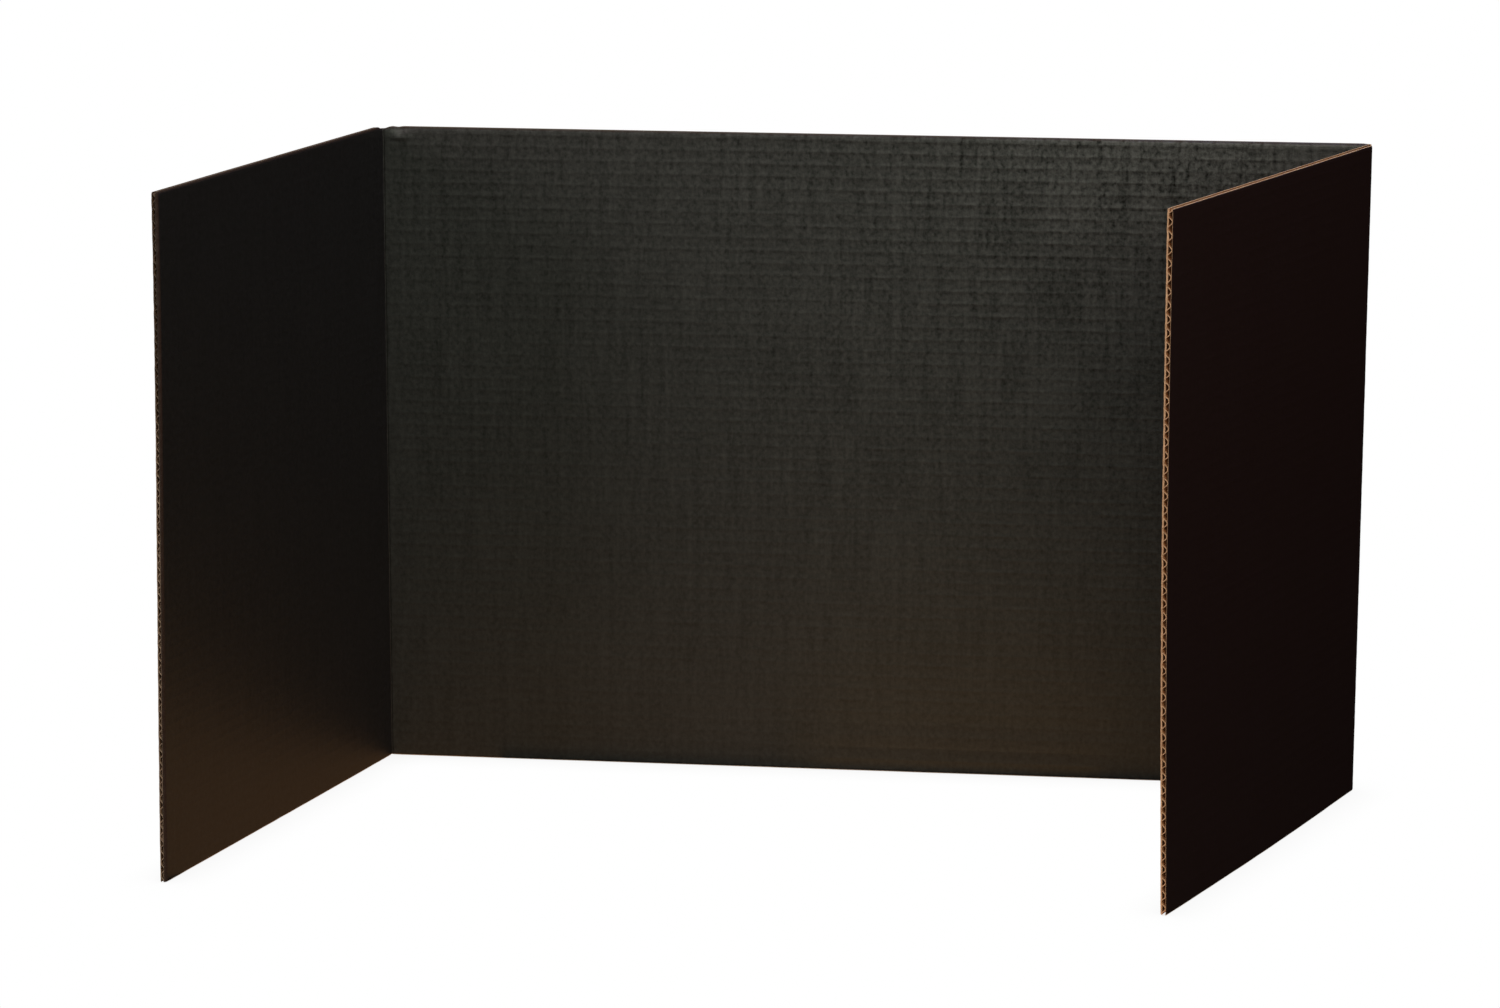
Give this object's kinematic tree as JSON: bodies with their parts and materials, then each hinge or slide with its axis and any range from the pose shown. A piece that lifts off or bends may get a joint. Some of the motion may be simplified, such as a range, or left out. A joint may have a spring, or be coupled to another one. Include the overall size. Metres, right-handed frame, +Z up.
{
  "type": "study carrel",
  "caption": "Tri-fold table-top study carrel of single-wall corrugated board, black on both faces, with a wing folding forward at each side of a wide centre panel.",
  "frame": {"origin": "on the table, at the middle of the centre panel's inner face", "axes": "+X to the right and +Y to the back for a person seated at the carrel, +Z up"},
  "size_m": [0.6897, 0.2997, 0.4064],
  "materials": {
    "black_inner_liner": "black flood print on kraft liner, low sheen, faint level washboard bands",
    "black_outer_liner": "black flood print on kraft liner, low sheen",
    "kraft_medium": "unprinted brown kraft, matt, seen at the cut edges"
  },
  "bodies": {
    "centre_panel": {"centre_inner_liner": "black_inner_liner", "centre_outer_liner": "black_outer_liner", "centre_fluted_medium": "kraft_medium"},
    "left_wing": {"left_wing_inner_liner": "black_inner_liner", "left_wing_outer_liner": "black_outer_liner", "left_wing_fluted_medium": "kraft_medium"},
    "right_wing": {"right_wing_inner_liner": "black_inner_liner", "right_wing_outer_liner": "black_outer_liner", "right_wing_fluted_medium": "kraft_medium"}
  },
  "joints": [
    {"name": "left_fold", "type": "hinge", "parent": "centre_panel", "child": "left_wing", "pos_m": [-0.3053, -0.00025, 0], "axis": [0, 0, 1], "range_deg": [-76.2, 101.8]},
    {"name": "right_fold", "type": "hinge", "parent": "centre_panel", "child": "right_wing", "pos_m": [0.3053, -0.00025, 0], "axis": [0, 0, -1], "range_deg": [-111.4, 66.6]}
  ]
}
